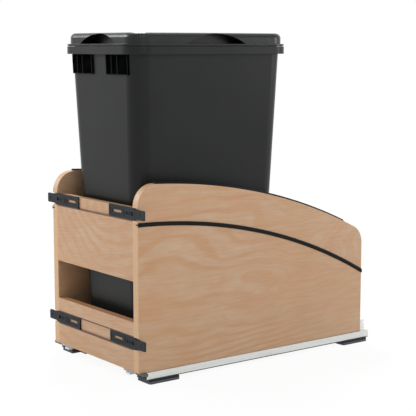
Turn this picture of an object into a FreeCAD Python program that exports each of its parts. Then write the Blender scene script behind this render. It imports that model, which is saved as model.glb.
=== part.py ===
import FreeCAD, Part
import math
import os

Vector = FreeCAD.Vector

os.makedirs("parts", exist_ok=True)

# Sizes are in millimetres.  X runs across the unit, t runs back from the front
# face of the box, and Z runs up from the cabinet floor.  Pieces are drawn for the
# right side (X > 0) and mirrored for the left one.

# ---------------------------------------------------------------- wooden box
board = 16.0
box_width = 305.0
box_depth = 554.0
box_lift = 22.0
rail_overrun = 20.0
bottom_board = 12.0
divider_board = 12.0
front_top = 302.2
window_sill = 92.7
window_head = 168.6
back_height = 150.0
divider_height = 212.0
divider_gap = 9.0
edge_chamfer = 1.2

# Top edge of the side boards: a large arc with a rounded corner at each end.
crown_height = 345.7
crown_back = -5.0
crown_radius = 1240.0
corner_radius = 40.0

# Edge trim and rub strip, each held by a tongue in a kerf.
trim_width = 10.0
trim_rise = 3.3
trim_start = 41.0
trim_end = 505.0
strip_radius = 1153.0
strip_crown = 273.3
strip_height = 7.6
strip_proud = 2.9
tongue_width = 2.2
tongue_depth = 6.0
kerf_clearance = 0.1

# Dowels of the corner joints.
dowel_radius = 4.0
dowel_length = 26.0
dowel_end_gap = 0.5
dowel_low = 22.0
dowel_below_window = 18.0
dowel_above_window = 20.0
dowel_below_top = 45.0

# ---------------------------------------------------------------- door brackets
plate = 2.8
rabbet = 3.0
plate_height = 22.6
tab_height = 18.0
plate_corner = 1.5
tab_corner = 2.0
tab_root = 10.0
groove_clearance = 0.3
bracket_inner = 55.5
bracket_shoulder = 142.0
bracket_outer = 173.0
bracket_low = 53.7
bracket_high = 291.8
bracket_travel = 3.0
slot_inner = 66.3
slot_outer = 97.5
slot_height = 5.0
pocket_margin = 6.5
pocket_height = 15.0
pocket_depth = 0.8
hole_margin = 0.6
clamp_hole = 116.5
spare_hole = 133.4
door_hole = 162.0
hole_radius = 2.5
clamp_radius = 2.0
clamp_head_radius = 4.5
clamp_head = 2.4
clamp_head_gap = 0.2
clamp_clearance = 0.4

# ---------------------------------------------------------------- waste bin
bin_front = 7.91
bin_base_x = 96.5
bin_base_t = 152.5
bin_round = 30.4
bin_taper = 0.0396
bin_height = 578.4
bin_wall = 2.5
bin_foot = 2.0
bin_foot_width = 12.0
rim_overhang = 10.2
rim_drop = 14.4
rim_round = 39.0
rim_wall = 2.5

# Grip pads under the rim.
grip_inner = 25.0
grip_height = 37.2
grip_proud = 3.8
grip_cells = (17.0, 17.0, 31.0)
grip_rib = 2.0
grip_cell_depth = 2.4
grip_border = 1.5
grip_gap = 0.3

# Lid.
lid_seat_gap = 0.3
lid_seat = 1.2
lid_seat_inset = 2.0
lid_flange = 3.1
lid_flange_inset = 0.4
lid_crown = 20.3
lid_crown_inset = 6.8
lid_crown_bevel = 5.9
lid_crown_soften = 2.2
lid_wall = 2.2
lid_lip = 7.0
lid_lip_wall = 2.0
lid_lip_clearance = 0.8
recess_chord_front = 128.0
recess_chord_side = 135.0
recess_side_shift = 7.0
recess_rise = 18.9
recess_depth = 26.0

# Cleats that hold the foot of the bin.
cleat_width = 14.0
cleat_height = 10.0
cleat_clearance = 1.5
cleat_corner = 26.0

# ---------------------------------------------------------------- slides
sheet = 1.5
thin_sheet = 1.2
rail_face = 155.4
rail_inner = 121.4
rail_base = 7.4
rail_top = 21.7
rail_start = 16.0
rail_inner_top = 15.0
rail_lip = 5.9
member_inner_edge = 124.0
member_outer_edge = 148.5
member_wall_inner = 131.0
member_wall_outer = 144.0
member_bottom = 16.2
member_gap = 0.3
hook_reach = 15.0
middle_inner = 128.0
middle_outer = 147.0
middle_bottom = 12.0
middle_top = 18.6
middle_start = 24.0
middle_rear_gap = 10.0
cage_sheet = 0.6
cage_length = 200.0
lower_cage_lead = 156.0
upper_cage_lead = 166.0
cage_side_gap = 0.5
roller_radius = 1.2
roller_length = 10.0
roller_count = 3
roller_margin = 20.0
roller_clearance = 0.3

# Rear hook of the drawer member.
hook_height = 22.0
hook_gap = 0.3
hook_pin_radius = 2.5
hook_pin_length = 8.0
hook_pin_rise = 11.0
hook_notch = 4.0
hook_notch_depth = 5.0
hook_pin_inset = 2.5

# Screws that hold the slides under the box.
screw_radius = 1.75
screw_head_radius = 3.0
screw_head = 1.4
screw_length = 10.0
screw_end_gap = 1.0
slide_screw_front = 110.0
slide_screw_rear = 104.0

# Foot pads and their rivets.
pad_face = 159.7
pad_inner = 100.0
pad_thickness = 7.4
pad_length = 67.5
pad_front_start = 19.6
pad_rear_gap = 6.0
pad_neck = 18.9
pad_step = 2.0
pad_corner = 3.0
pad_edge = 0.8
pad_hole_inset = 9.0
pad_hole_radius = 2.5
rivet_radius = 2.5
rivet_clearance = 0.05
rivet_foot = 1.3

# Locking clip and release lever.
clip_start = 4.0
clip_bar = 10.0
clip_face = 162.0
clip_length = 58.0
clip_height = 5.0
clip_inner = 95.0
clip_outer = 121.0
clip_screw_inset = 5.5
clip_screw_front = 20.0
clip_screw_rear = 10.0
lever_inner = 107.0
lever_outer = 117.0
lever_start = 2.5
lever_pivot = 50.0
lever_top = 16.7
lever_thickness = 3.7
pivot_radius = 2.0
pivot_clearance = 0.3
tongue_start = 17.0
tongue_length = 5.0
tongue_clearance = 1.0
tongue_low = 15.4
tongue_rise = 2.4
tongue_swing = 5.5
tongue_end_gap = 1.0
catch_reach = 0.8
tip_lead = 5.0
tip_length = 12.0
tip_inner = 3.0
tip_outer = 2.0

# Soft-close damper.
damper_pad_gap = 8.5
damper_length = 112.0
damper_width = 9.0
damper_low = 8.2
damper_top = 17.2
damper_bore = 2.2
damper_rod_radius = 1.6
damper_stroke = 45.0
damper_reach = 8.0
damper_cap = 2.4
damper_cap_radius = 3.0
damper_guide = 30.0
cradle_inset = 6.0
cradle_drop = 0.6
striker_thickness = 5.0
striker_gap = 0.3
striker_half = 4.0
striker_foot = 12.0
striker_plate = 3.0

# ---------------------------------------------------------------- derived places
front = -(box_depth + rail_overrun) / 2
side_face = box_width / 2
side_inner = side_face - board
floor_top = box_lift + bottom_board
rail_end = box_depth + rail_overrun
crown_centre = box_lift + crown_height - crown_radius
strip_centre = box_lift + strip_crown - strip_radius
bin_top = floor_top + bin_height
skirt_low = bin_top - rim_drop
rim_x = bin_base_x + bin_taper * bin_height + rim_overhang
rim_t = bin_base_t + bin_taper * bin_height + rim_overhang
bin_centre = bin_front + rim_t
grip_width = sum(grip_cells) + 2 * (grip_rib + grip_border)
damper_start = rail_end - pad_rear_gap - pad_length - damper_pad_gap - damper_length
bracket_levels = {"lower": box_lift + bracket_low, "upper": box_lift + bracket_high}


# ---------------------------------------------------------------- helpers
def at(x, t, z):
    """Point x across, t behind the front face and z above the floor."""
    return Vector(x, front + t, z)


def block(x0, x1, t0, t1, z0, z1):
    """Box between the given limits."""
    return Part.makeBox(x1 - x0, t1 - t0, z1 - z0, at(x0, t0, z0))


def rod(radius, start, end):
    """Round bar between two points given as (x, t, z)."""
    a = at(*start)
    b = at(*end)
    return Part.makeCylinder(radius, (b - a).Length, a, b - a)


def peg(radius, start, end, sides=8):
    """Bar with flat sides, used for fluted dowels, hidden shanks and needle rollers."""
    a = at(*start)
    b = at(*end)
    turn = FreeCAD.Rotation(Vector(0, 0, 1), b - a)
    points = []
    for i in range(sides + 1):
        angle = 2 * math.pi * i / sides
        points.append(a + turn.multVec(Vector(radius * math.cos(angle), radius * math.sin(angle), 0)))
    return Part.Face(Part.makePolygon(points)).extrude(b - a)


def mirrored(shape):
    """The same piece on the other side of the unit."""
    return shape.mirror(Vector(0, 0, 0), Vector(1, 0, 0))


def group(shapes):
    """Separate solids that share one node."""
    return Part.makeCompound(shapes)


def save(name, shape):
    """Writes one node as a STEP file."""
    shape.exportStep("parts/" + name + ".step")


def save_pair(name, shape):
    """Writes the right piece and its mirror image for the left side."""
    save(name + "_right", shape)
    save(name + "_left", mirrored(shape))


def arc_edge(x, centre_t, centre_z, radius, start, end):
    """Arc in the plane X = x, with angles in radians from the back towards up."""
    points = []
    for angle in (start, (start + end) / 2, end):
        points.append(at(x, centre_t + radius * math.cos(angle), centre_z + radius * math.sin(angle)))
    return Part.Arc(*points).toShape()


def line_edge(a, b):
    """Straight edge between two points."""
    return Part.LineSegment(a, b).toShape()


def bent_bar(centre_z, section, t_start, t_end):
    """Bar bent round an axis along X and cut off square at both ends.

    The section is a list of (x, radius) points.
    """
    reach = max(radius for _, radius in section)
    spare = 0.02
    first = math.acos((t_end - crown_back) / reach) - spare
    last = math.acos((t_start - crown_back) / reach) + spare
    points = []
    for x, radius in section:
        points.append(at(x, crown_back + radius * math.cos(first), centre_z + radius * math.sin(first)))
    face = Part.Face(Part.makePolygon(points + points[:1]))
    bar = face.revolve(at(0, crown_back, centre_z), Vector(1, 0, 0), math.degrees(last - first))
    xs = [x for x, _ in section]
    return bar.common(block(min(xs) - 1.0, max(xs) + 1.0, t_start, t_end, centre_z, centre_z + 2 * reach))


def folded_sheet(path, gauge, t0, t1):
    """Sheet of one gauge folded along a centre line of (x, z) points."""
    count = len(path)
    normals = []
    for (xa, za), (xb, zb) in zip(path, path[1:]):
        length = math.hypot(xb - xa, zb - za)
        normals.append((-(zb - za) / length, (xb - xa) / length))
    left = []
    right = []
    for i, (x, z) in enumerate(path):
        before = normals[max(i - 1, 0)]
        after = normals[min(i, count - 2)]
        nx = before[0] + after[0]
        nz = before[1] + after[1]
        scale = gauge / (nx * nx + nz * nz)
        left.append((x + nx * scale, z + nz * scale))
        right.append((x - nx * scale, z - nz * scale))
    outline = left + right[::-1]
    points = [at(x, t0, z) for x, z in outline + outline[:1]]
    return Part.Face(Part.makePolygon(points)).extrude(Vector(0, t1 - t0, 0))


def rounded_ring(half_x, half_t, radius, centre, z):
    """Level rectangle with rounded corners, as a closed wire."""
    inner_x = half_x - radius
    inner_t = half_t - radius
    edges = []
    corners = ((1, 1, 0), (-1, 1, 90), (-1, -1, 180), (1, -1, 270))
    for i, (sx, st, turn) in enumerate(corners):
        points = []
        for step in (0, 45, 90):
            angle = math.radians(turn + step)
            x = sx * inner_x + radius * math.cos(angle)
            t = centre + st * inner_t + radius * math.sin(angle)
            points.append(at(x, t, z))
        edges.append(Part.Arc(*points).toShape())
        nx, nt, turn_on = corners[(i + 1) % 4]
        angle = math.radians(turn_on)
        x = nx * inner_x + radius * math.cos(angle)
        t = centre + nt * inner_t + radius * math.sin(angle)
        edges.append(line_edge(points[-1], at(x, t, z)))
    return Part.Wire(edges)


def prism(wire, height):
    """Solid that stands on a level wire."""
    return Part.Face(wire).extrude(Vector(0, 0, height))


def drafted(half_x, half_t, radius, centre, z0, z1):
    """Upright box that widens by the bin's draft, with its four corners rounded.

    The half sizes are those at its foot.
    """
    grow = bin_taper * (z1 - z0)
    across = [(-half_x, z0), (half_x, z0), (half_x + grow, z1), (-half_x - grow, z1)]
    points = [at(x, centre - half_t - grow, z) for x, z in across + across[:1]]
    wedge = Part.Face(Part.makePolygon(points)).extrude(Vector(0, 2 * (half_t + grow), 0))
    along = [(-half_t, z0), (half_t, z0), (half_t + grow, z1), (-half_t - grow, z1)]
    points = [at(-half_x - grow, centre + t, z) for t, z in along + along[:1]]
    solid = wedge.common(Part.Face(Part.makePolygon(points)).extrude(Vector(2 * (half_x + grow), 0, 0)))
    return ease(solid, radius, lambda e: abs(e.tangentAt(e.FirstParameter).z) > 0.9)


def plate_outline(x0, x1, level, height, corner):
    """Upright bracket plate with cut corners, centred on a level."""
    solid = block(x0, x1, 0.0, plate, level - height / 2, level + height / 2)
    return bevel(solid, corner, lambda e: abs(e.tangentAt(e.FirstParameter).y) > 0.9)


def obround(x0, x1, z, height, t0, t1):
    """Slot shape along X with many-sided ends, centred on height z."""
    r = height / 2
    middle = block(x0 + r, x1 - r, t0, t1, z - r, z + r)
    ends = [peg(r, (x, t0, z), (x, t1, z), 16) for x in (x0 + r, x1 - r)]
    return middle.fuse(ends).removeSplitter()


def ease(solid, radius, keep):
    """Rounds the edges for which keep(edge) is true."""
    return solid.makeFillet(radius, [e for e in solid.Edges if keep(e)])


def is_level(edge):
    """True for an edge that lies in a level plane."""
    return edge.BoundBox.ZLength < 0.01


def bevel(solid, size, keep):
    """Chamfers the edges for which keep(edge) is true."""
    return solid.makeChamfer(size, [e for e in solid.Edges if keep(e)])


# ---------------------------------------------------------------- side boards
def side_corners():
    """Centres of the two top corners and the angles where they meet the crown."""
    reach = crown_radius - corner_radius
    places = []
    for t in (corner_radius, box_depth - corner_radius):
        z = crown_centre + math.sqrt(reach ** 2 - (t - crown_back) ** 2)
        angle = math.atan2(z - crown_centre, t - crown_back)
        places.append((t, z, angle))
    return places


def kerf(middle, half, inner, outer):
    """Section of a kerf centred on x = middle between two radii."""
    return [(middle - half, inner), (middle + half, inner), (middle + half, outer), (middle - half, outer)]


def dowel_places():
    """Heights and distances back of the dowels through each side board."""
    places = []
    for height in (dowel_low, window_sill - dowel_below_window,
                   window_head + dowel_above_window, front_top - dowel_below_top):
        places.append((board / 2, box_lift + height))
    for height in (dowel_low, back_height - dowel_below_top):
        places.append((box_depth - board / 2, box_lift + height))
    return places


def dowel_holes():
    """Drillings for every dowel on the right side."""
    half = dowel_length / 2 + dowel_end_gap
    radius = dowel_radius + kerf_clearance
    return [peg(radius, (side_inner - half, t, z), (side_inner + half, t, z)) for t, z in dowel_places()]


def bracket_groove(level, x0, x1):
    """Shallow groove in the front faces for the door brackets."""
    low = level - plate_height / 2 - groove_clearance
    high = level + plate_height / 2 + groove_clearance
    if level > box_lift + window_head:
        high = max(high, box_lift + front_top + 1.0)
    return block(x0, x1, -1.0, rabbet, low, high)


def make_side_board():
    """Right side board with its arched top, kerfs, grooves and drillings."""
    (front_t, front_z, front_a), (rear_t, rear_z, rear_a) = side_corners()
    x = side_inner
    edges = [
        line_edge(at(x, 0, box_lift), at(x, box_depth, box_lift)),
        line_edge(at(x, box_depth, box_lift), at(x, box_depth, rear_z)),
        arc_edge(x, rear_t, rear_z, corner_radius, 0.0, rear_a),
        arc_edge(x, crown_back, crown_centre, crown_radius, rear_a, front_a),
        arc_edge(x, front_t, front_z, corner_radius, front_a, math.pi),
        line_edge(at(x, 0, front_z), at(x, 0, box_lift)),
    ]
    solid = Part.Face(Part.Wire(edges)).extrude(Vector(board, 0, 0))
    cuts = [bracket_groove(level, side_inner - 1.0, side_face + 1.0) for level in bracket_levels.values()]
    middle = side_face - board / 2
    half = tongue_width / 2 + kerf_clearance
    depth = tongue_depth + kerf_clearance
    cuts.append(bent_bar(crown_centre, kerf(middle, half, crown_radius - depth, crown_radius + 1.0),
                         trim_start - 1.0, trim_end + 1.0))
    deep = side_face - depth / 2
    cuts.append(bent_bar(strip_centre, kerf(deep, depth / 2 + 0.01, strip_radius - half, strip_radius + half),
                         -1.0, box_depth + 1.0))
    cuts += dowel_holes()
    cuts.append(hook_hole())
    return solid.cut(cuts)


def make_top_trim():
    """Soft edge trim over the crown of the side board, with its tongue."""
    middle = side_face - board / 2
    half = tongue_width / 2
    wide = trim_width / 2
    slope = trim_rise * 0.55
    foot = crown_radius
    top = crown_radius + trim_rise
    section = [
        (middle - half, foot - tongue_depth), (middle + half, foot - tongue_depth),
        (middle + half, foot), (middle + wide, foot),
        (middle + wide, top - slope), (middle + wide - slope, top),
        (middle - wide + slope, top), (middle - wide, top - slope),
        (middle - wide, foot), (middle - half, foot),
    ]
    return bent_bar(crown_centre, section, trim_start, trim_end)


def make_side_strip():
    """Rub strip along the outer face of the side board, with its tongue."""
    half = tongue_width / 2
    high = strip_height / 2
    slope = strip_proud * 0.6
    face = side_face + strip_proud
    section = [
        (side_face - tongue_depth, strip_radius - half), (side_face, strip_radius - half),
        (side_face, strip_radius - high), (face - slope, strip_radius - high),
        (face, strip_radius - high + slope), (face, strip_radius + high - slope),
        (face - slope, strip_radius + high), (side_face, strip_radius + high),
        (side_face, strip_radius + half), (side_face - tongue_depth, strip_radius + half),
    ]
    return bent_bar(strip_centre, section, 0.0, box_depth)


# ---------------------------------------------------------------- other boards
def clamp_slots():
    """Slotted drillings through the front boards for the bracket clamp screws."""
    height = 2 * (clamp_radius + clamp_clearance)
    reach = bracket_travel + clamp_radius + clamp_clearance
    slots = []
    for level in bracket_levels.values():
        for side in (-1, 1):
            x = side * clamp_hole
            slots.append(obround(x - reach, x + reach, level, height, -1.0, board + 1.0))
    return slots


def front_cuts():
    """Everything that is cut from both front boards."""
    cuts = [bracket_groove(level, -side_face, side_face) for level in bracket_levels.values()]
    holes = dowel_holes()
    return cuts + holes + [mirrored(h) for h in holes] + clamp_slots()


def make_front_board(low, high):
    """One front board between the side boards."""
    solid = block(-side_inner, side_inner, 0.0, board, box_lift + low, box_lift + high)
    return solid.cut(front_cuts())


def make_back_board():
    """Low board across the rear of the box."""
    top = box_lift + back_height
    solid = block(-side_inner, side_inner, box_depth - board, box_depth, box_lift, top)
    solid = bevel(solid, edge_chamfer, lambda e: e.CenterOfMass.z > top - 0.1 and e.Length > board + 1.0)
    holes = dowel_holes()
    return solid.cut(holes + [mirrored(h) for h in holes])


def slide_screw_spots():
    """Places (x, t, seat height) of the screws through the drawer member."""
    x = (member_inner_edge + member_wall_inner) / 2
    return [(x, t, box_lift - thin_sheet) for t in (slide_screw_front, box_depth - slide_screw_rear)]


def clip_screw_spots():
    """Places (x, t, seat height) of the screws through the locking clip."""
    x = clip_inner + clip_screw_inset
    end = clip_start + clip_length
    z = box_lift - clip_height + screw_head
    return [(x, t, z) for t in (clip_start + clip_screw_front, end - clip_screw_rear)]


def make_bottom_board():
    """Bottom board between the side, front and back boards."""
    solid = block(-side_inner, side_inner, board, box_depth - board, box_lift, floor_top)
    holes = []
    radius = screw_radius + kerf_clearance
    top = box_lift + screw_length
    for x, t, _ in slide_screw_spots() + clip_screw_spots():
        for side in (-1, 1):
            holes.append(peg(radius, (side * x, t, box_lift - 1.0), (side * x, t, top)))
    return solid.cut(holes)


def bin_half_t(z, extra=0.0):
    """Half depth of the bin at height z."""
    return bin_base_t + bin_taper * (z - floor_top) + extra


def make_divider():
    """Board between the bin and the storage place behind it."""
    top = box_lift + divider_height
    start = bin_centre + bin_half_t(top) + divider_gap
    solid = block(-side_inner, side_inner, start, start + divider_board, floor_top, top)
    return bevel(solid, edge_chamfer, lambda e: e.CenterOfMass.z > top - 0.1 and e.Length > board)


def make_cleats():
    """Four corner cleats round the foot of the bin."""
    x = bin_base_x + bin_taper * cleat_height + cleat_clearance
    t = bin_base_t + bin_taper * cleat_height + cleat_clearance
    low = floor_top
    high = floor_top + cleat_height
    cleats = []
    for sx in (-1, 1):
        for st in (-1, 1):
            a = sorted((sx * x, sx * (x + cleat_width)))
            b = sorted((bin_centre + st * (t - 3 * cleat_corner), bin_centre + st * (t - cleat_corner)))
            cleats.append(block(a[0], a[1], b[0], b[1], low, high))
    for st in (-1, 1):
        b = sorted((bin_centre + st * t, bin_centre + st * (t + cleat_width)))
        cleats.append(block(-2 * cleat_corner, 2 * cleat_corner, b[0], b[1], low, high))
    return group([bevel(c, edge_chamfer, lambda e: e.CenterOfMass.z > high - 0.1) for c in cleats])


def make_dowels():
    """Dowels of both sides."""
    start = side_inner - dowel_length / 2
    end = side_inner + dowel_length / 2
    right = [peg(dowel_radius, (start, t, z), (end, t, z)) for t, z in dowel_places()]
    return group(right + [mirrored(d) for d in right])


def make_screws(places, length):
    """Hexagon-head screws driven up, on both sides."""
    screws = []
    for x, t, z in places:
        head = peg(screw_head_radius, (x, t, z - screw_head), (x, t, z), 6)
        shank = peg(screw_radius, (x, t, z - screw_head / 2), (x, t, z + length))
        screws.append(head.fuse(shank).removeSplitter())
    return group(screws + [mirrored(s) for s in screws])


# ---------------------------------------------------------------- door brackets
def make_bracket(level):
    """Stamped door bracket with its tab, adjusting slot and holes."""
    body = plate_outline(bracket_inner, bracket_shoulder, level, plate_height, plate_corner)
    tab = plate_outline(bracket_shoulder - tab_root, bracket_outer, level, tab_height, tab_corner)
    solid = body.fuse(tab).removeSplitter()
    half_pocket = pocket_height / 2
    groove = hole_radius + hole_margin
    cuts = [
        obround(slot_inner, slot_outer + pocket_margin, level, pocket_height, -1.0, pocket_depth),
        block(slot_inner - pocket_margin, slot_inner + pocket_height, -1.0, pocket_depth,
              level - half_pocket, level + half_pocket),
        obround(slot_inner, slot_outer, level, slot_height, -1.0, plate + 1.0),
        obround(clamp_hole - groove, spare_hole + groove, level, 2 * groove, -1.0, pocket_depth),
        peg(clamp_radius, (clamp_hole, -1.0, level), (clamp_hole, plate + 1.0, level), 12),
        peg(hole_radius, (spare_hole, -1.0, level), (spare_hole, plate + 1.0, level), 12),
        rod(hole_radius, (door_hole, -1.0, level), (door_hole, plate + 1.0, level)),
    ]
    return solid.cut(cuts)


def make_clamp_screw(level):
    """Screw from inside the box that clamps a bracket in its groove."""
    seat = board + clamp_head_gap
    end = seat + clamp_head
    head = peg(clamp_head_radius, (clamp_hole, seat, level), (clamp_hole, end, level), 6)
    shank = peg(clamp_radius, (clamp_hole, pocket_depth, level), (clamp_hole, end, level), 12)
    return head.fuse(shank).removeSplitter()


# ---------------------------------------------------------------- bin
def bin_solid(low, high, extra):
    """The tapered form of the bin between two heights, grown by extra."""
    grow = bin_taper * (low - floor_top) + extra
    return drafted(bin_base_x + grow, bin_base_t + grow, bin_round + extra, bin_centre, low, high)


def rim_ring(z, inset):
    """Outline of the rim at height z, drawn in by inset."""
    return rounded_ring(rim_x - inset, rim_t - inset, rim_round - inset, bin_centre, z)


def make_bin():
    """Tapered walls, floor and foot ring of the bin."""
    outer = bin_solid(floor_top, bin_top, 0.0)
    inside = bin_solid(floor_top + bin_foot + bin_wall, bin_top + 1.0, -bin_wall)
    foot = rounded_ring(bin_base_x - bin_foot_width, bin_base_t - bin_foot_width,
                        bin_round - bin_foot_width, bin_centre, floor_top - 1.0)
    return outer.cut([inside, prism(foot, bin_foot + 1.0)])


def make_rim():
    """Hanging rim round the mouth of the bin, moulded in one with its walls."""
    outside = prism(rim_ring(skirt_low, 0.0), rim_drop)
    under = prism(rim_ring(skirt_low - 1.0, rim_wall), rim_drop + 1.0 - rim_wall)
    return outside.cut([under, bin_solid(floor_top, bin_top + 1.0, 0.0)])


def grip_layer(low, high, inside, outside):
    """Skin round the bin between two offsets from its wall."""
    return bin_solid(low, high, outside).cut(bin_solid(low, high, inside))


def make_grips():
    """Pair of ribbed grip pads on the front wall, just below the rim."""
    high = skirt_low - grip_gap
    low = skirt_low - grip_height
    skin = grip_layer(low, high, 0.0, grip_proud)
    pockets = grip_layer(low, high, grip_proud - grip_cell_depth, grip_proud + 1.0)
    pads = []
    for start in (-grip_inner - grip_width, grip_inner):
        cells = []
        x = start + grip_border
        for width in grip_cells:
            cells.append(block(x, x + width, -rim_t, bin_centre, low + grip_border, high + 1.0))
            x += width + grip_rib
        part = skin.common(block(start, start + grip_width, -rim_t, bin_centre, low, high))
        pads.append(part.cut(pockets.common(Part.makeCompound(cells))))
    return group(pads)


def arch_radius(chord):
    """Radius of the arch of a finger recess with the given width at its foot."""
    return ((chord / 2) ** 2 + recess_rise ** 2) / (2 * recess_rise)


def finger_recesses(extra):
    """Arched finger recesses in the four walls of the lid, grown by extra."""
    base = bin_top + lid_seat_gap + lid_seat + lid_flange
    solids = []
    reach_x = rim_x - lid_crown_inset - recess_depth - extra
    reach_t = rim_t - lid_crown_inset - recess_depth - extra
    front_radius = arch_radius(recess_chord_front)
    side_radius = arch_radius(recess_chord_side)
    front_z = base + recess_rise - front_radius
    side_z = base + recess_rise - side_radius
    side_t = bin_centre + recess_side_shift
    for side in (-1, 1):
        start = (0.0, bin_centre + side * reach_t, front_z)
        end = (0.0, bin_centre + side * (rim_t + 5.0), front_z)
        solids.append(rod(front_radius + extra, start, end))
        start = (side * reach_x, side_t, side_z)
        end = (side * (rim_x + 5.0), side_t, side_z)
        solids.append(rod(side_radius + extra, start, end))
    span = 2 * rim_t
    above = block(-span, span, bin_centre - span, bin_centre + span, base - extra, base + 2 * lid_crown)
    return [s.common(above) for s in solids]


def lip_ring(z, inset):
    """Outline of the lid's locating lip, which fits inside the mouth of the bin."""
    gap = bin_wall + lid_lip_clearance + inset
    grow = bin_taper * (bin_top - lid_lip - floor_top) - gap
    return rounded_ring(bin_base_x + grow, bin_base_t + grow, bin_round - gap, bin_centre, z)


def make_lid():
    """Hollow lid with a flange, a locating lip and four finger recesses."""
    seat_low = bin_top + lid_seat_gap
    flange_low = seat_low + lid_seat
    crown_low = flange_low + lid_flange
    crown_high = crown_low + lid_crown
    crown = prism(rim_ring(crown_low - 1.0, lid_crown_inset), lid_crown + 1.0)
    crown = bevel(crown, lid_crown_bevel, lambda e: e.CenterOfMass.z > crown_high - 0.01)
    crown = bevel(crown, lid_crown_soften, lambda e: is_level(e) and e.CenterOfMass.z > crown_low + lid_wall)
    solid = crown.fuse(prism(rim_ring(flange_low, lid_flange_inset), lid_flange))
    solid = solid.fuse(prism(rim_ring(seat_low, lid_seat_inset), lid_seat + 0.5))
    lip = prism(lip_ring(bin_top - lid_lip, 0.0), lid_lip + lid_seat + 1.0)
    solid = solid.fuse(lip)
    hollow = prism(rim_ring(crown_low - 1.0, lid_crown_inset + lid_wall), lid_crown + 1.0 - lid_wall)
    inner_bevel = lid_crown_bevel - lid_wall * (2 - math.sqrt(2))
    hollow = bevel(hollow, inner_bevel, lambda e: e.CenterOfMass.z > crown_high - lid_wall - 0.01)
    hollow = hollow.cut(finger_recesses(lid_wall))
    throat = prism(lip_ring(bin_top - lid_lip - 1.0, lid_lip_wall), lid_lip + lid_seat + lid_flange + 1.5)
    throat = throat.cut(finger_recesses(lid_wall))
    return solid.cut([hollow, throat] + finger_recesses(0.0)).removeSplitter()


# ---------------------------------------------------------------- slides
def make_rail():
    """Rail fixed to the cabinet floor, with a returned lip over the slide."""
    half = sheet / 2
    path = (
        (rail_face - rail_lip, rail_top - half),
        (rail_face - half, rail_top - half),
        (rail_face - half, rail_base + half),
        (rail_inner + half, rail_base + half),
        (rail_inner + half, rail_inner_top),
    )
    solid = folded_sheet(path, sheet, rail_start, rail_end)
    return solid.cut([rivet_hole(t) for t in rivet_places()])


def pad_starts():
    """Front and rear pads by name."""
    return {"front": pad_front_start, "rear": rail_end - pad_rear_gap - pad_length}


def rivet_x():
    """Rivets stand midway across the rail."""
    return (rail_inner + rail_face) / 2


def rivet_places():
    """Distances back of the rivets, one through the middle of each pad."""
    return [start + pad_length / 2 for start in pad_starts().values()]


def rivet_hole(t):
    """Hole for one rivet through the rail's floor."""
    radius = rivet_radius + rivet_clearance
    return peg(radius, (rivet_x(), t, rivet_foot), (rivet_x(), t, rail_base + sheet + 1.0))


def make_pad(start):
    """Moulded foot pad with an ear for the floor screw."""
    solid = block(pad_inner, pad_face, start, start + pad_length, 0.0, pad_thickness)
    solid = bevel(solid, pad_corner, lambda e: abs(e.tangentAt(e.FirstParameter).z) > 0.9)
    solid = bevel(solid, pad_edge, lambda e: e.CenterOfMass.z > pad_thickness - 0.01)
    end = start + pad_length
    cuts = []
    for t0, t1 in ((start - 1.0, start + pad_neck), (end - pad_neck, end + 1.0)):
        cuts.append(block(pad_inner - 1.0, rail_inner - pad_step, t0, t1, -1.0, pad_thickness + 1.0))
    x = pad_inner + pad_hole_inset
    t = start + pad_length / 2
    cuts.append(rod(pad_hole_radius, (x, t, -1.0), (x, t, pad_thickness + 1.0)))
    return solid.cut(cuts + [rivet_hole(t)])


def make_rivets():
    """Rivets that hold the rails on their pads."""
    rivets = []
    for t in rivet_places():
        rivets.append(peg(rivet_radius, (rivet_x(), t, rivet_foot), (rivet_x(), t, rail_base + sheet)))
    return group(rivets + [mirrored(r) for r in rivets])


def make_middle():
    """Middle member of the slide, an upright channel."""
    half = thin_sheet / 2
    path = (
        (middle_inner + half, middle_top),
        (middle_inner + half, middle_bottom + half),
        (middle_outer - half, middle_bottom + half),
        (middle_outer - half, middle_top),
    )
    return folded_sheet(path, thin_sheet, middle_start, box_depth - middle_rear_gap)


def hook_hole():
    """Drilling in the rear edge of the side board for the hook pin."""
    x = hook_pin_x()
    z = box_lift + hook_pin_rise
    start = (x, box_depth - hook_pin_length - 1.0, z)
    return peg(hook_pin_radius + hook_gap, start, (x, box_depth + 1.0, z))


def hook_pin_x():
    """The hook pin enters the side board near its inner face."""
    return side_inner + hook_pin_radius + hook_pin_inset


def make_drawer_member():
    """Drawer member of the slide, a hat section with a hook at the rear."""
    half = thin_sheet / 2
    high = box_lift - half
    path = (
        (member_inner_edge, high),
        (member_wall_inner + half, high),
        (member_wall_inner + half, member_bottom + half),
        (member_wall_outer - half, member_bottom + half),
        (member_wall_outer - half, high),
        (member_outer_edge, high),
    )
    start = clip_start + clip_bar + member_gap
    end = box_depth + hook_reach
    solid = folded_sheet(path, thin_sheet, start, end)
    hook_front = box_depth + hook_gap
    top = box_lift + hook_height
    low = box_lift - thin_sheet
    back = block(member_wall_inner, member_outer_edge, hook_front, hook_front + thin_sheet, low, top)
    side = block(member_outer_edge - thin_sheet, member_outer_edge, hook_front, end, low, top)
    notch = block(member_outer_edge - hook_notch_depth, member_outer_edge + 1.0, end - hook_notch, end + 1.0,
                  top - 2 * hook_notch, top - hook_notch)
    z = box_lift + hook_pin_rise
    x = hook_pin_x()
    pin = peg(hook_pin_radius, (x, box_depth - hook_pin_length, z), (x, hook_front + thin_sheet / 2, z))
    solid = solid.fuse([back, side.cut(notch), pin]).removeSplitter()
    cuts = []
    for x, t, _ in slide_screw_spots():
        cuts.append(peg(screw_radius + kerf_clearance, (x, t, high - 2.0), (x, t, box_lift + 1.0)))
    cuts.append(block(member_wall_inner - 1.0, member_wall_inner + thin_sheet + 1.0,
                      tongue_start - tongue_clearance, tongue_start + tongue_length + tongue_clearance,
                      member_bottom + thin_sheet, box_lift - thin_sheet))
    return solid.cut(cuts)


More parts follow.
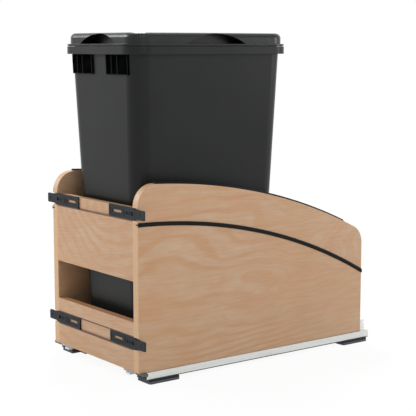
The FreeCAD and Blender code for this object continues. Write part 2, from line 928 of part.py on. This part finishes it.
def roller_spots(start):
    """Evenly spaced rollers along one cage."""
    pitch = (cage_length - 2 * roller_margin) / (roller_count - 1)
    return [start + roller_margin + pitch * i for i in range(roller_count)]


def make_cage(start, z, inner, outer):
    """Sheet cage with a window for each roller."""
    solid = block(inner, outer, start, start + cage_length, z - cage_sheet / 2, z + cage_sheet / 2)
    middle = (inner + outer) / 2
    half_x = roller_length / 2 + roller_clearance
    half_t = roller_radius + roller_clearance
    windows = []
    for t in roller_spots(start):
        windows.append(block(middle - half_x, middle + half_x, t - half_t, t + half_t, z - 1.0, z + 1.0))
    return solid.cut(windows)


def make_rollers(start, z, inner, outer):
    """Needle rollers of one cage."""
    middle = (inner + outer) / 2
    low = middle - roller_length / 2
    high = middle + roller_length / 2
    return group([peg(roller_radius, (low, t, z), (high, t, z), 12) for t in roller_spots(start)])


# ---------------------------------------------------------------- clip, lever, damper
def pivot_x():
    """The lever turns on a pin in the middle of its arm."""
    return (lever_inner + lever_outer) / 2


def make_clip():
    """Locking clip under the front corner of the box, with its cross bar."""
    low = box_lift - clip_height
    body = block(clip_inner, clip_outer, clip_start, clip_start + clip_length, low, box_lift)
    bar = block(clip_outer - 1.0, clip_face, clip_start, clip_start + clip_bar, low, box_lift)
    solid = body.fuse(bar).removeSplitter()
    x = pivot_x()
    foot = (x, lever_pivot, lever_top - lever_thickness)
    post = rod(pivot_radius, foot, (x, lever_pivot, low + clip_height / 2))
    bar_end = clip_start + clip_bar
    tongue_end = tongue_start + tongue_length + tongue_end_gap
    cuts = [block(clip_outer - tongue_swing, clip_outer + 1.0, bar_end, tongue_end,
                  low - 1.0, box_lift + 1.0)]
    for x, t, seat in clip_screw_spots():
        cuts.append(peg(screw_radius + kerf_clearance, (x, t, low - 1.0), (x, t, box_lift + 1.0)))
        cuts.append(peg(screw_head_radius + member_gap, (x, t, low - 1.0), (x, t, seat)))
    return solid.cut(cuts).fuse(post)


def make_lever():
    """Release lever with its finger end and the tongue that locks the slide."""
    low = lever_top - lever_thickness
    x = pivot_x()
    tip_end = lever_start + tip_length
    arm = block(lever_inner, lever_outer, lever_start + tip_lead, lever_pivot, low, lever_top)
    tip = block(lever_inner - tip_inner, lever_outer + tip_outer, lever_start, tip_end, low, lever_top)
    boss = peg((lever_outer - lever_inner) / 2, (x, lever_pivot, low), (x, lever_pivot, lever_top), 12)
    end = tongue_start + tongue_length
    hook_low = member_bottom + thin_sheet + member_gap
    hook_top = hook_low + tongue_rise
    hook_inner = clip_outer + 2 * member_gap
    hook_outer = member_wall_inner - member_gap
    reach = block(x, hook_outer, tongue_start, end, tongue_low, lever_top)
    hook = block(hook_inner, hook_outer, tongue_start, end, lever_top, hook_top)
    catch = block(hook_inner, member_wall_inner + catch_reach, tongue_start, end, hook_low, hook_top)
    solid = arm.fuse([tip, boss, reach, hook, catch]).removeSplitter()
    radius = pivot_radius + pivot_clearance
    return solid.cut(rod(radius, (x, lever_pivot, low - 1.0), (x, lever_pivot, lever_top + 1.0)))


def damper_x():
    """Middle of the damper, which lies along the inner web of the rail."""
    return rail_inner - damper_width / 2


def damper_z():
    """Height of the damper rod."""
    return (damper_low + damper_top) / 2


def make_damper_housing():
    """Cylinder of the soft-close damper in its cradle beside the rail."""
    end = damper_start + damper_length
    x = damper_x()
    z = damper_z()
    radius = damper_width / 2
    tube = peg(radius, (x, damper_start, z), (x, end, z), 12)
    cradle = block(x - radius, rail_inner, damper_start + cradle_inset, end - cradle_inset,
                   damper_low - cradle_drop, z)
    solid = tube.fuse(cradle).removeSplitter()
    bore = peg(damper_bore, (x, damper_start - 1.0, z), (x, end - damper_stroke / 2, z))
    return solid.cut(bore)


def make_damper_rod():
    """Rod of the damper with its buffer cap, pushed in while the box is shut."""
    x = damper_x()
    z = damper_z()
    start = damper_start - damper_reach
    shaft = peg(damper_rod_radius, (x, start, z), (x, damper_start + damper_stroke + damper_guide, z))
    cap = peg(damper_cap_radius, (x, start, z), (x, start + damper_cap, z), 12)
    return shaft.fuse(cap).removeSplitter()


def make_striker():
    """Block under the bottom board that pushes the damper rod home."""
    x = damper_x()
    end = damper_start - damper_reach - striker_gap
    low = x - striker_half
    high = x + striker_half
    start = end - striker_thickness
    solid = block(low, high, start - striker_foot, end, box_lift - striker_plate, box_lift)
    leg = block(low, high, start, end, damper_z() - striker_plate, box_lift)
    return solid.fuse(leg).removeSplitter()


# ---------------------------------------------------------------- write every node
save_pair("side_panel", make_side_board())
save("front_board_lower", make_front_board(0.0, window_sill))
save("front_board_upper", make_front_board(window_head, front_top))
save("back_board", make_back_board())
save("bottom_panel", make_bottom_board())
save("divider_panel", make_divider())
save("bin_locating_cleats", make_cleats())
save("box_dowels", make_dowels())
save_pair("top_trim", make_top_trim())
save_pair("side_strip", make_side_strip())

for row, level in bracket_levels.items():
    save_pair("door_bracket_" + row, make_bracket(level))
    save_pair("bracket_screw_" + row, make_clamp_screw(level))

save("bin_body", make_bin())
save("bin_rim", make_rim())
save("bin_grips", make_grips())
save("bin_lid", make_lid())

save_pair("cabinet_member", make_rail())
save_pair("intermediate_member", make_middle())
save_pair("drawer_member", make_drawer_member())
for pad_name, pad_start in pad_starts().items():
    save_pair("foot_pad_" + pad_name, make_pad(pad_start))
save("pad_rivets", make_rivets())
save("slide_screws", make_screws(slide_screw_spots(), screw_length - screw_end_gap))
clip_grip = clip_height - screw_head
save("clip_screws", make_screws(clip_screw_spots(), screw_length + clip_grip - screw_end_gap))

lower_cage = middle_start + lower_cage_lead
upper_cage = middle_start + upper_cage_lead
lower_z = (rail_base + sheet + middle_bottom) / 2
upper_z = (middle_bottom + thin_sheet + member_bottom) / 2
lower_edges = (rail_inner + sheet + cage_side_gap, rail_face - sheet - cage_side_gap)
upper_edges = (middle_inner + thin_sheet + cage_side_gap, middle_outer - thin_sheet - cage_side_gap)
save_pair("roller_cage_lower", make_cage(lower_cage, lower_z, *lower_edges))
save_pair("rollers_lower", make_rollers(lower_cage, lower_z, *lower_edges))
save_pair("roller_cage_upper", make_cage(upper_cage, upper_z, *upper_edges))
save_pair("rollers_upper", make_rollers(upper_cage, upper_z, *upper_edges))

save_pair("locking_clip", make_clip())
save_pair("release_lever", make_lever())
save_pair("damper_housing", make_damper_housing())
save_pair("damper_rod", make_damper_rod())
save_pair("damper_striker", make_striker())
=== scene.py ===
import math

import bpy
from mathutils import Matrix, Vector

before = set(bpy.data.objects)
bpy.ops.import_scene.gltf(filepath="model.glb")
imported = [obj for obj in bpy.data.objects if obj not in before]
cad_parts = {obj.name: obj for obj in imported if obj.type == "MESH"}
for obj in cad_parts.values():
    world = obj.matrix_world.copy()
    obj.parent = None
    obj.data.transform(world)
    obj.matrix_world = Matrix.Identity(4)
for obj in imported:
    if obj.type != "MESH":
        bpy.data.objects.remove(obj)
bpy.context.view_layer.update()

SCENE = bpy.context.scene

# Places that the painted details follow, in metres in the object's own frame.
BRACKET_LEVELS = (0.0757, 0.3138)          # Z of the middle of the lower and upper door brackets
SHADOW_LINE_HEIGHTS = (0.0641, 0.0873, 0.3022)    # Z of the painted shadow lines along the brackets' grooves
BOARD_SKIN = (-0.2835, -0.2845)            # Y just under the front boards' skin, and on it
BIN_WALL = (-0.0396, -0.24465)             # the bin's front wall lies at Y = first * Z + second
PAD_RIDGE = (0.0020, 0.0028)               # a grip pad's ground and its ridges, out from the wall
PAD_SHADE_LINE = (0.0042, 0.0054)                # Z over which a foot pad goes from its paler lowest layer to painted shade above, in the gap under the rail
CLIP_ARM = (0.1355, 0.1375)                # |X| over which a locking clip's pale arm ends
RAIL_FOOT = (0.0086, 0.0098)               # Z over which a floor rail's shaded foot ends

# Painted shade for the relief stamped in a door bracket, each as |X| of its middle, half its
# width
# and half its height: the crescent beside the slot, three ribs along the screw's groove and the
# rim of the spare hole.
BRACKET_STAMP_SHADE = ((0.1072, 0.0014, 0.0060), (0.1215, 0.0011, 0.0028), (0.1255, 0.0011, 0.0028),
                 (0.1290, 0.0009, 0.0028), (0.1340, 0.0030, 0.0034))

# Colours as display values, 0..255. Birch veneer has a light and a middle ground, rosy patches,
# dark late wood and pores.
BIRCH = ((194, 165, 137), (192, 157, 124), (194, 151, 121), (188, 144, 104), (146, 104, 70))
# A painted highlight along the boards' edges, where they would catch the light.
ARRIS_HIGHLIGHT = (224, 186, 150)
CUT_FIBRE = (176, 134, 96)
GROOVE_SHADOW = (74, 40, 20)
RAIL_SHADOW = (50, 52, 56)

# How the growth rings wander: scale and detail of the noise, and how far it moves them.
STRAIGHT_SWAYS = ((3.4, 1.5, 0.34), (10.0, 2.0, 0.075), (34.0, 2.0, 0.014))
HEART_SWAYS = ((4.5, 1.5, 0.085), (14.0, 2.0, 0.036), (40.0, 2.0, 0.010))
BROAD_RINGS, THIN_RINGS = 330.0, 870.0     # radians to a metre of growth
PLY_WAVES = 2244.0                         # radians to a metre: two plies in 2.8 mm

MIX_FIRST, MIX_SECOND, MIX_RESULT = 6, 7, 2    # the sockets of a Mix node that mixes colours


# ---------------------------------------------------------------- node graphs

class Graph:
    """Short calls for the nodes of a material or of the world."""

    def __init__(self, owner):
        owner.use_nodes = True
        self.owner = owner
        self.nodes = owner.node_tree.nodes
        self.links = owner.node_tree.links

    def put(self, socket, value):
        """Links a socket to the input, or sets a plain value on it."""
        if isinstance(value, bpy.types.NodeSocket):
            self.links.new(value, socket)
        else:
            socket.default_value = value

    def node(self, kind, output, inputs=(), **settings):
        """One output of a new node. The inputs are a dict, or a list from the first one on."""
        made = self.nodes.new("ShaderNode" + kind)
        for label, value in settings.items():
            setattr(made, label, value)
        named = inputs if isinstance(inputs, dict) else dict(enumerate(inputs))
        for label, value in named.items():
            self.put(made.inputs[label], value)
        return made.outputs[output]

    def place(self, stretch=(1, 1, 1), shift=(0, 0, 0), turn=(0, 0, 0)):
        """Coordinates fixed to the piece, in metres: turned by degrees, stretched and shifted."""
        turned = self.node("Mapping", 0, {"Vector": self.node("TexCoord", "Object"),
                                          "Rotation": [math.radians(angle) for angle in turn]})
        return self.node("Mapping", 0, {"Vector": turned, "Location": shift, "Scale": stretch})

    def noise(self, vector, scale, detail=2.0, roughness=0.5):
        """Fractal noise from 0 to 1, mostly near the middle."""
        return self.node("TexNoise", "Fac", {"Vector": vector, "Scale": scale, "Detail": detail,
                                             "Roughness": roughness})

    def cells(self, vector, scale, output="Distance"):
        """A cell pattern: the distance from each cell's middle, or a colour of its own."""
        return self.node("TexVoronoi", output, {"Vector": vector, "Scale": scale})

    def math(self, operation, first, second=0.0, third=0.0):
        """One step of arithmetic."""
        return self.node("Math", 0, (first, second, third), operation=operation)

    def span(self, value, low, high, to_low=0.0, to_high=1.0):
        """The value from low..high, smoothly carried to to_low..to_high and held there."""
        return self.node("MapRange", "Result", (value, low, high, to_low, to_high),
                         interpolation_type="SMOOTHSTEP")

    def blend(self, share, first, second):
        """The first colour at a share of 0, the second at 1."""
        return self.node("Mix", MIX_RESULT, {"Factor": share, MIX_FIRST: first,
                                             MIX_SECOND: second}, data_type="RGBA")

    def part(self, vector, axis):
        """One coordinate of a vector."""
        return self.node("SeparateXYZ", axis, (vector,))

    def along(self, axis):
        """The point's own coordinate on an axis of the piece, in metres."""
        return self.part(self.place(), axis)

    def aside(self, value, middle):
        """How far a value lies from the middle, to either side."""
        return self.math("ABSOLUTE", self.math("SUBTRACT", value, middle))

    def distance(self, centre=(0, 0, 0), scale=(1, 1, 1)):
        """The distance from a centre, with each axis of the piece scaled by itself."""
        from_centre = self.place(scale, [-c * s for c, s in zip(centre, scale)])
        return self.node("VectorMath", "Value", (from_centre,), operation="LENGTH")

    def facing(self, axis):
        """1 on faces square to the named axis of the piece, 0 on the others."""
        normal = self.node("TexCoord", "Normal")
        return self.span(self.math("ABSOLUTE", self.part(normal, axis)), 0.6, 0.8)

    def rounded(self, radius, samples=4):
        """A normal that rounds the edges off by the radius."""
        return self.node("Bevel", 0, {"Radius": radius}, samples=samples)

    def edge(self, radius):
        """1 along convex and concave edges, 0 on open faces."""
        plain = self.node("NewGeometry", "Normal")
        alike = self.node("VectorMath", "Value", (self.rounded(radius, samples=6), plain),
                          operation="DOT_PRODUCT")
        return self.span(alike, 0.99, 0.80)

    def crevice_shade(self, distance):
        """1 in tight corners and holes, where shade falls, 0 in the open."""
        return self.span(self.node("AmbientOcclusion", "AO", {"Distance": distance}, samples=8),
                         0.85, 0.45)

    def bump(self, height, distance, strength, over):
        """A relief of the given depth in metres, over another normal."""
        return self.node("Bump", 0, {"Strength": strength, "Distance": distance,
                                     "Height": height, "Normal": over})

    def seen(self):
        """1 for the rays that show the background: camera, glossy and transmission rays."""
        path = self.nodes.new("ShaderNodeLightPath").outputs
        mirrored = self.math("MAXIMUM", path["Is Glossy Ray"], path["Is Transmission Ray"])
        return self.math("MAXIMUM", path["Is Camera Ray"], mirrored)

    def finish(self, **inputs):
        """Feeds the Principled shader, with _ for the spaces in its inputs' names."""
        shader = self.nodes["Principled BSDF"]
        for label, value in inputs.items():
            self.put(shader.inputs[label.replace("_", " ")], value)
        return self.owner


def new_material(name):
    """The graph of a new material, which starts as a bare Principled shader."""
    return Graph(bpy.data.materials.new(name))


def shade(rgb, times=1.0):
    """A colour written in 0..255 display values, as linear RGBA."""
    def linear(value):
        value = value / 255.0
        return value / 12.92 if value <= 0.04045 else ((value + 0.055) / 1.055) ** 2.4
    return (*[linear(channel * times) for channel in rgb], 1.0)


# ------------------------------------------------------------------ materials

def make_wood(name, thick, stretch, shift, tone, ply, glue, turn=(0, 0, 0), heart=None,
              lines=()):
    """Rotary-cut birch plywood: wavy flames of the growth rings, fine fibre, plies at the edges
    and a painted highlight along every edge.

    thick is the axis through the boards. stretch, shift and turn lay out the figure, and tone
    is added to the veneer's colours. With a heart, given as centre and scale, the rings arch
    round it. lines are the heights of the painted shadow lines along the grooves on the front.
    """
    g = new_material(name)
    light, middle, rosy, dark, pore = [shade([c + tone for c in rgb]) for rgb in BIRCH]
    face = g.place(stretch, shift, turn)
    if heart is None:
        level = g.part(face, "X" if thick == "Z" else "Z")
        sways = STRAIGHT_SWAYS
    else:
        level = g.distance(*heart)
        sways = HEART_SWAYS
    for scale, detail, reach in sways:
        sway = g.math("SUBTRACT", g.noise(face, scale, detail), 0.5)
        level = g.math("MULTIPLY_ADD", sway, reach, level)
    broad = g.math("SINE", g.math("MULTIPLY", level, BROAD_RINGS))
    thin = g.math("SINE", g.math("MULTIPLY", level, THIN_RINGS))
    patch = g.noise(g.place(stretch, (3.1, 1.7, 0.4), turn), 7.0)
    late = g.math("POWER", g.span(broad, -1.0, 1.0), 2.6)
    late = g.math("MULTIPLY", late, g.span(patch, 0.34, 0.66, 0.12, 0.72))
    early = g.math("MULTIPLY", g.span(thin, 0.0, 1.0), g.span(patch, 0.7, 0.4, 0.08, 0.34))
    blush = g.noise(g.place(stretch, (0.7, 4.2, 2.9), turn), 26.0)
    mottle = g.noise(face, 60.0, 3.0, 0.6)
    fine = g.place([s * (0.1 if s < 1.0 else 1.0) for s in stretch], shift, turn)
    fibre = g.noise(fine, 300.0, 3.0, 0.6)
    pores = g.span(g.noise(fine, 950.0, 2.0, 0.7), 0.62, 0.78)

    veneer = g.blend(g.span(g.noise(face, 11.0, 3.0), 0.3, 0.7), light, middle)
    veneer = g.blend(g.span(blush, 0.45, 0.7, 0.0, 0.55), veneer, rosy)
    veneer = g.blend(late, veneer, dark)
    veneer = g.blend(early, veneer, dark)
    veneer = g.blend(g.span(mottle, 0.35, 0.7, 0.0, 0.30), veneer, dark)
    veneer = g.blend(g.span(fibre, 0.35, 0.75, 0.0, 0.16), veneer, pore)
    veneer = g.blend(g.math("MULTIPLY", pores, 0.22), veneer, pore)

    plies = g.math("SINE", g.math("MULTIPLY", g.along(thick), PLY_WAVES))
    torn = g.noise(g.place(), 700.0)
    cut = g.blend(g.span(plies, -0.5, 0.5, 0.0, 0.55), shade(ply), shade(glue))
    cut = g.blend(g.span(torn, 0.45, 0.75, 0.0, 0.3), cut, shade(CUT_FIBRE))

    tint = g.blend(g.facing(thick), cut, veneer)
    # Painted highlight: every edge is lightened as if it caught the light.
    tint = g.blend(g.math("MULTIPLY", g.edge(0.0012), 0.4), tint, shade(ARRIS_HIGHLIGHT))
    # Painted shadow lines along the grooves for the door brackets, kept to the boards' front
    # face.
    for height in lines:
        line = g.span(g.aside(g.along("Z"), height), 0.0025, 0.0013, 0.0, 0.95)
        skin = g.span(g.along("Y"), *BOARD_SKIN)
        tint = g.blend(g.math("MULTIPLY", line, skin), tint, shade(GROOVE_SHADOW))
    relief = g.math("SUBTRACT", fibre, g.math("MULTIPLY", pores, 0.6))
    return g.finish(Base_Color=tint, Roughness=g.span(fibre, 0.3, 0.8, 0.44, 0.60),
                    Normal=g.bump(relief, 0.00006, 0.5, over=g.rounded(0.0009)))


def make_moulded(name, colour, pale, rough, grain=1800.0, depth=0.00004, soft=0.0006, sheen=0.5,
                 lit_bottom=None, arm=None):
    """Injection-moulded plastic: spark-eroded grain, slow clouding, pale scuffs and paler edges.

    grain and depth are the scale and depth of the grain, and soft is the radius at the edges.
    The lower colour given for a foot pad goes on its lowest layer, and the darker colour above it
    is painted shade in the gap under the rail.
    arm is the colour of a locking clip's inner arm.
    """
    g = new_material(name)
    cloud = g.noise(g.place(), 7.0, 3.0)
    scratch = g.noise(g.place((60, 60, 900)), 1.0, 3.0, 0.6)
    scuff = g.math("MULTIPLY", g.span(scratch, 0.66, 0.78), g.span(cloud, 0.45, 0.62, 0.0, 0.25))
    tint = g.blend(g.span(cloud, 0.3, 0.7), shade(colour), shade(colour, 1.12))
    tint = g.blend(scuff, tint, shade(pale))
    tint = g.blend(g.math("MULTIPLY", g.edge(0.0010), 0.22), tint, shade(pale))
    # Painted shade: the pad keeps the paler colour only on its lowest layer and is dark above it,
    # as in the gap under the rail.
    if lit_bottom is not None:
        tint = g.blend(g.span(g.along("Z"), *PAD_SHADE_LINE, 0.85, 0.0), tint, shade(lit_bottom))
    if arm is not None:
        across = g.math("ABSOLUTE", g.along("X"))
        tint = g.blend(g.span(across, *CLIP_ARM, 0.9, 0.0), tint, shade(arm))
    fleck = g.noise(g.place(), grain, 2.0, 0.6)
    uneven = g.math("ADD", g.math("MULTIPLY", cloud, 0.5), g.math("MULTIPLY", fleck, 0.5))
    return g.finish(Base_Color=tint, Specular_IOR_Level=sheen,
                    Roughness=g.span(uneven, 0.3, 0.7, rough - 0.05, rough + 0.07),
                    Normal=g.bump(fleck, depth, 0.6, over=g.rounded(soft)))


def make_rubber(name, colour, pale, sheen, ridge_highlight=None):
    """Soft black moulding: matt, faintly dusty, with a fine pebble and painted highlights along
    its edges and ridges.

    The function given for the ridges gives 1 on them, where a painted highlight lightens the
    colour.
    """
    g = new_material(name)
    dust = g.span(g.noise(g.place(), 22.0, 4.0, 0.6), 0.45, 0.75, 0.0, 0.35)
    tint = g.blend(dust, shade(colour), shade(pale))
    # Painted highlight along the edges.
    tint = g.blend(g.math("MULTIPLY", g.edge(0.0008), 0.3), tint, shade(pale))
    if ridge_highlight is not None:
        # Painted highlight on the ridges, lighter as if they caught the light.
        tint = g.blend(ridge_highlight(g), tint, shade(pale, 1.7))
    pebble = g.cells(g.place(), 1500.0)
    return g.finish(Base_Color=tint, Specular_IOR_Level=sheen,
                    Roughness=g.span(dust, 0.0, 0.35, 0.42, 0.62),
                    Normal=g.bump(pebble, 0.00005, 0.5, over=g.rounded(0.0006)))


def grip_ridge_highlight(g):
    """1 on the ridges of the grip pads, which stand further out from the bin's sloping wall and
    get a painted highlight.
    """
    wall = g.math("MULTIPLY_ADD", g.along("Z"), *BIN_WALL)
    return g.span(g.math("SUBTRACT", wall, g.along("Y")), *PAD_RIDGE)


def bracket_stamp_shade(g):
    """1 where painted shade darkens the relief stamped in the door brackets."""
    across = g.math("ABSOLUTE", g.along("X"))
    off = g.math("MINIMUM", *[g.aside(g.along("Z"), level) for level in BRACKET_LEVELS])
    stamp_shade = 0.0
    for middle, half_width, half_height in BRACKET_STAMP_SHADE:
        wide = g.span(g.aside(across, middle), half_width + 0.0004, half_width - 0.0004)
        high = g.span(off, half_height + 0.0005, half_height - 0.0005)
        stamp_shade = g.math("MAXIMUM", stamp_shade, g.math("MULTIPLY", wide, high))
    return stamp_shade


def make_powder(name, colour, worn, stamp_shade=None):
    """Powder-coated steel: orange-peel skin, worn to bare metal in specks along the edges, with
    painted shade in corners and holes.

    The function given for the stamped relief gives 1 where painted shade darkens it almost to
    black.
    """
    g = new_material(name)
    peel = g.noise(g.place(), 700.0)
    cloud = g.noise(g.place(), 28.0, 3.0)
    specks = g.span(g.noise(g.place(), 190.0, 3.0), 0.40, 0.62, 0.15, 0.7)
    tint = g.blend(g.span(cloud, 0.3, 0.7), shade(colour), shade(colour, 1.15))
    tint = g.blend(g.math("MULTIPLY", g.edge(0.0009), specks), tint, shade(worn))
    # Painted shade: tight corners and holes are darkened almost to black.
    tint = g.blend(g.crevice_shade(0.004), tint, shade((2, 2, 2)))
    # Painted shade in the relief stamped in the bracket.
    if stamp_shade is not None:
        tint = g.blend(g.math("MULTIPLY", stamp_shade(g), 0.95), tint, shade((1, 1, 1)))
    return g.finish(Base_Color=tint, Specular_IOR_Level=0.07,
                    Roughness=g.span(peel, 0.3, 0.7, 0.42, 0.56),
                    Normal=g.bump(peel, 0.00004, 0.5, over=g.rounded(0.0005)))


def make_zinc(name, colour, dull, drawn=(300.0, 9.0, 300.0), foot=None):
    """Bright zinc on rolled strip: faint crystals, drawing lines, duller at the cut edges.

    drawn scales the lines on each axis, long along the strip. foot holds the two heights
    between which a shaded foot ends.
    """
    g = new_material(name)
    grey = g.node("RGBToBW", 0, (g.cells(g.place(), 260.0, "Color"),))
    lines = g.noise(g.place(drawn), 1.0, 3.0, 0.65)
    tint = g.blend(g.math("MULTIPLY", grey, 0.15), shade(colour), shade(dull))
    tint = g.blend(g.span(lines, 0.45, 0.75, 0.0, 0.35), tint, shade(dull))
    tint = g.blend(g.math("MULTIPLY", g.edge(0.0006), 0.4), tint, shade(dull))
    if foot is not None:
        tint = g.blend(g.span(g.along("Z"), *foot, 0.92, 0.0), tint, shade(RAIL_SHADOW))
    uneven = g.math("MULTIPLY_ADD", grey, 0.3, g.math("MULTIPLY", lines, 0.7))
    return g.finish(Base_Color=tint, Metallic=0.55,
                    Roughness=g.span(uneven, 0.2, 0.8, 0.30, 0.46),
                    Normal=g.bump(lines, 0.00003, 0.5, over=g.rounded(0.0004)))


wood_side = make_wood(
    "birch_side_boards", thick="X", stretch=(1.0, 0.42, 1.0), shift=(0.3, 0.0, 0.0), tone=-9,
    ply=(192, 157, 121), glue=(185, 148, 109))
# The front boards' plies and glue lines are darker than the side boards': partly the plies' own
# colour and partly painted shade on their up-facing cut edges.
wood_front = make_wood(
    "birch_front_boards", thick="Y", stretch=(0.6, 1.0, 1.0), shift=(0.4, 0.2, 0.9), tone=-13,
    ply=(180, 132, 90), glue=(150, 104, 66), turn=(0, 8, 0),
    heart=((0.055, 0.0, 0.33), (0.75, 0.0, 1.0)), lines=SHADOW_LINE_HEIGHTS)
wood_inner = make_wood(
    "birch_inner_boards", thick="Z", stretch=(1.0, 0.3, 1.0), shift=(0.1, 0.8, 0.2), tone=-10,
    ply=(196, 156, 118), glue=(166, 124, 88))

bin_plastic = make_moulded("bin_polypropylene", (21, 23, 22), (62, 64, 64), rough=0.33,
                           grain=1400.0, depth=0.00008, sheen=0.20)
lid_plastic = make_moulded("lid_polypropylene", (22, 24, 24), (78, 80, 82), rough=0.26,
                           grain=1400.0, depth=0.00008, soft=0.0012, sheen=0.29)
clip_plastic = make_moulded("clip_acetal", (66, 68, 72), (104, 106, 110), rough=0.40,
                            arm=(178, 180, 182))
damper_plastic = make_moulded("damper_acetal", (44, 46, 50), (88, 90, 94), rough=0.40)
lever_plastic = make_moulded("lever_acetal", (196, 198, 200), (222, 224, 226), rough=0.36)
pad_plastic = make_moulded("pad_nylon", (24, 26, 33), (70, 72, 78), rough=0.45, sheen=0.15,
                           lit_bottom=(88, 88, 96))
cage_plastic = make_moulded("cage_nylon", (196, 194, 186), (228, 226, 220), rough=0.42,
                            depth=0.00003)

grip_rubber = make_rubber("grip_elastomer", (4, 4, 4), (20, 21, 21), sheen=0.0,
                          ridge_highlight=grip_ridge_highlight)
trim_rubber = make_rubber("edge_moulding", (8, 9, 10), (34, 35, 36), sheen=0.12)

powder = make_powder("powder_coat", (42, 45, 47), (104, 106, 108), stamp_shade=bracket_stamp_shade)
screw_black = make_powder("black_oxide", (14, 14, 15), (70, 70, 72))

zinc = make_zinc("bright_zinc", (222, 224, 221), (182, 184, 184))
rail_zinc = make_zinc("rail_zinc", (215, 217, 214), (178, 180, 180), foot=RAIL_FOOT)
screw_zinc = make_zinc("screw_zinc", (206, 204, 196), (150, 148, 140),
                       drawn=(500.0, 500.0, 500.0))

# The start of a node's name, and its material.
FINISHES = {
    "side_panel": wood_side, "front_board": wood_front, "back_board": wood_front,
    "divider_panel": wood_front, "bottom_panel": wood_inner, "bin_locating_cleats": wood_inner,
    "box_dowels": wood_inner,
    "top_trim": trim_rubber, "side_strip": trim_rubber,
    "door_bracket": powder, "bracket_screw": screw_black,
    "bin_body": bin_plastic, "bin_rim": bin_plastic, "bin_lid": lid_plastic,
    "bin_grips": grip_rubber,
    "cabinet_member": rail_zinc, "intermediate_member": zinc, "drawer_member": zinc,
    "roller_cage": cage_plastic, "rollers": screw_zinc,
    "slide_screws": screw_zinc, "clip_screws": screw_zinc, "pad_rivets": screw_zinc,
    "locking_clip": clip_plastic, "release_lever": lever_plastic, "foot_pad": pad_plastic,
    "damper_housing": damper_plastic, "damper_striker": damper_plastic,
    "damper_rod": screw_zinc,
}

for name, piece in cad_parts.items():
    finish = next(material for stem, material in FINISHES.items() if name.startswith(stem))
    for slot in piece.material_slots:
        slot.material = finish


# ------------------------------------------------------- floor, light, camera

def make_stage(half):
    """A pale floor that keeps the shadow near the object and fades to white further out."""
    mesh = bpy.data.meshes.new("floor")
    mesh.from_pydata([(-half, -half, 0), (half, -half, 0), (half, half, 0), (-half, half, 0)],
                     [], [(0, 1, 2, 3)])
    floor = bpy.data.objects.new("floor", mesh)
    SCENE.collection.objects.link(floor)
    g = new_material("studio_floor")
    speck = g.blend(g.noise(g.place(), 240.0), (0.88, 0.88, 0.88, 1), (0.92, 0.92, 0.92, 1))
    g.finish(Base_Color=speck, Roughness=0.9, Specular_IOR_Level=0.0)
    away = g.span(g.distance(), 0.35, 1.1, 0.93, 1.0)
    white = g.node("Emission", 0, {"Strength": 1.0})
    painted = g.nodes["Principled BSDF"].outputs[0]
    mixed = g.node("MixShader", 0, (g.math("MULTIPLY", g.seen(), away), painted, white))
    g.put(g.nodes["Material Output"].inputs["Surface"], mixed)
    mesh.materials.append(g.owner)


def make_world(level):
    """Even soft light of the given level, seen and mirrored as plain white."""
    SCENE.world = bpy.data.worlds.new("studio")
    g = Graph(SCENE.world)
    background = g.nodes["Background"].inputs
    g.put(background["Color"], (1, 1, 1, 1))
    g.put(background["Strength"], g.node("MapRange", "Result", {
        "Value": g.seen(), "To Min": level, "To Max": 1.0}))


def make_lamp(name, place, towards, side, power):
    """One square soft box, its side in metres and its power in watts."""
    lamp = bpy.data.lights.new(name, "AREA")
    lamp.shape = "SQUARE"
    lamp.size = side
    lamp.energy = power
    holder = bpy.data.objects.new(name, lamp)
    holder.location = place
    aim = Vector(towards) - Vector(place)
    holder.rotation_euler = aim.to_track_quat("-Z", "Y").to_euler()
    SCENE.collection.objects.link(holder)


def make_camera(place, tilt, heading, focal_length):
    """The photograph's camera, on a 36 mm sensor, with its angles in degrees."""
    lens = bpy.data.cameras.new("camera")
    lens.lens = focal_length
    lens.sensor_width = 36.0
    lens.clip_end = 100.0
    camera = bpy.data.objects.new("camera", lens)
    camera.location = place
    camera.rotation_euler = (math.radians(tilt), 0.0, math.radians(heading))
    SCENE.collection.objects.link(camera)
    SCENE.camera = camera


make_stage(half=12.0)
make_world(level=0.55)
make_lamp("key", (-2.35, -2.1, 1.9), (0, 0, 0.3), side=1.4, power=72.0)
make_lamp("fill", (2.7, -0.5, 1.8), (0, 0, 0.3), side=1.6, power=20.0)
make_lamp("rear", (2.2, 2.8, 1.0), (0, 0, 0.3), side=1.2, power=26.0)
make_lamp("top", (-1.3, 0.7, 2.6), (0, 0, 0.5), side=0.7, power=48.0)
make_camera((1.9046, -1.4386, 0.6120), tilt=82.24, heading=53.25, focal_length=102.52)
SCENE.view_settings.view_transform = "Standard"
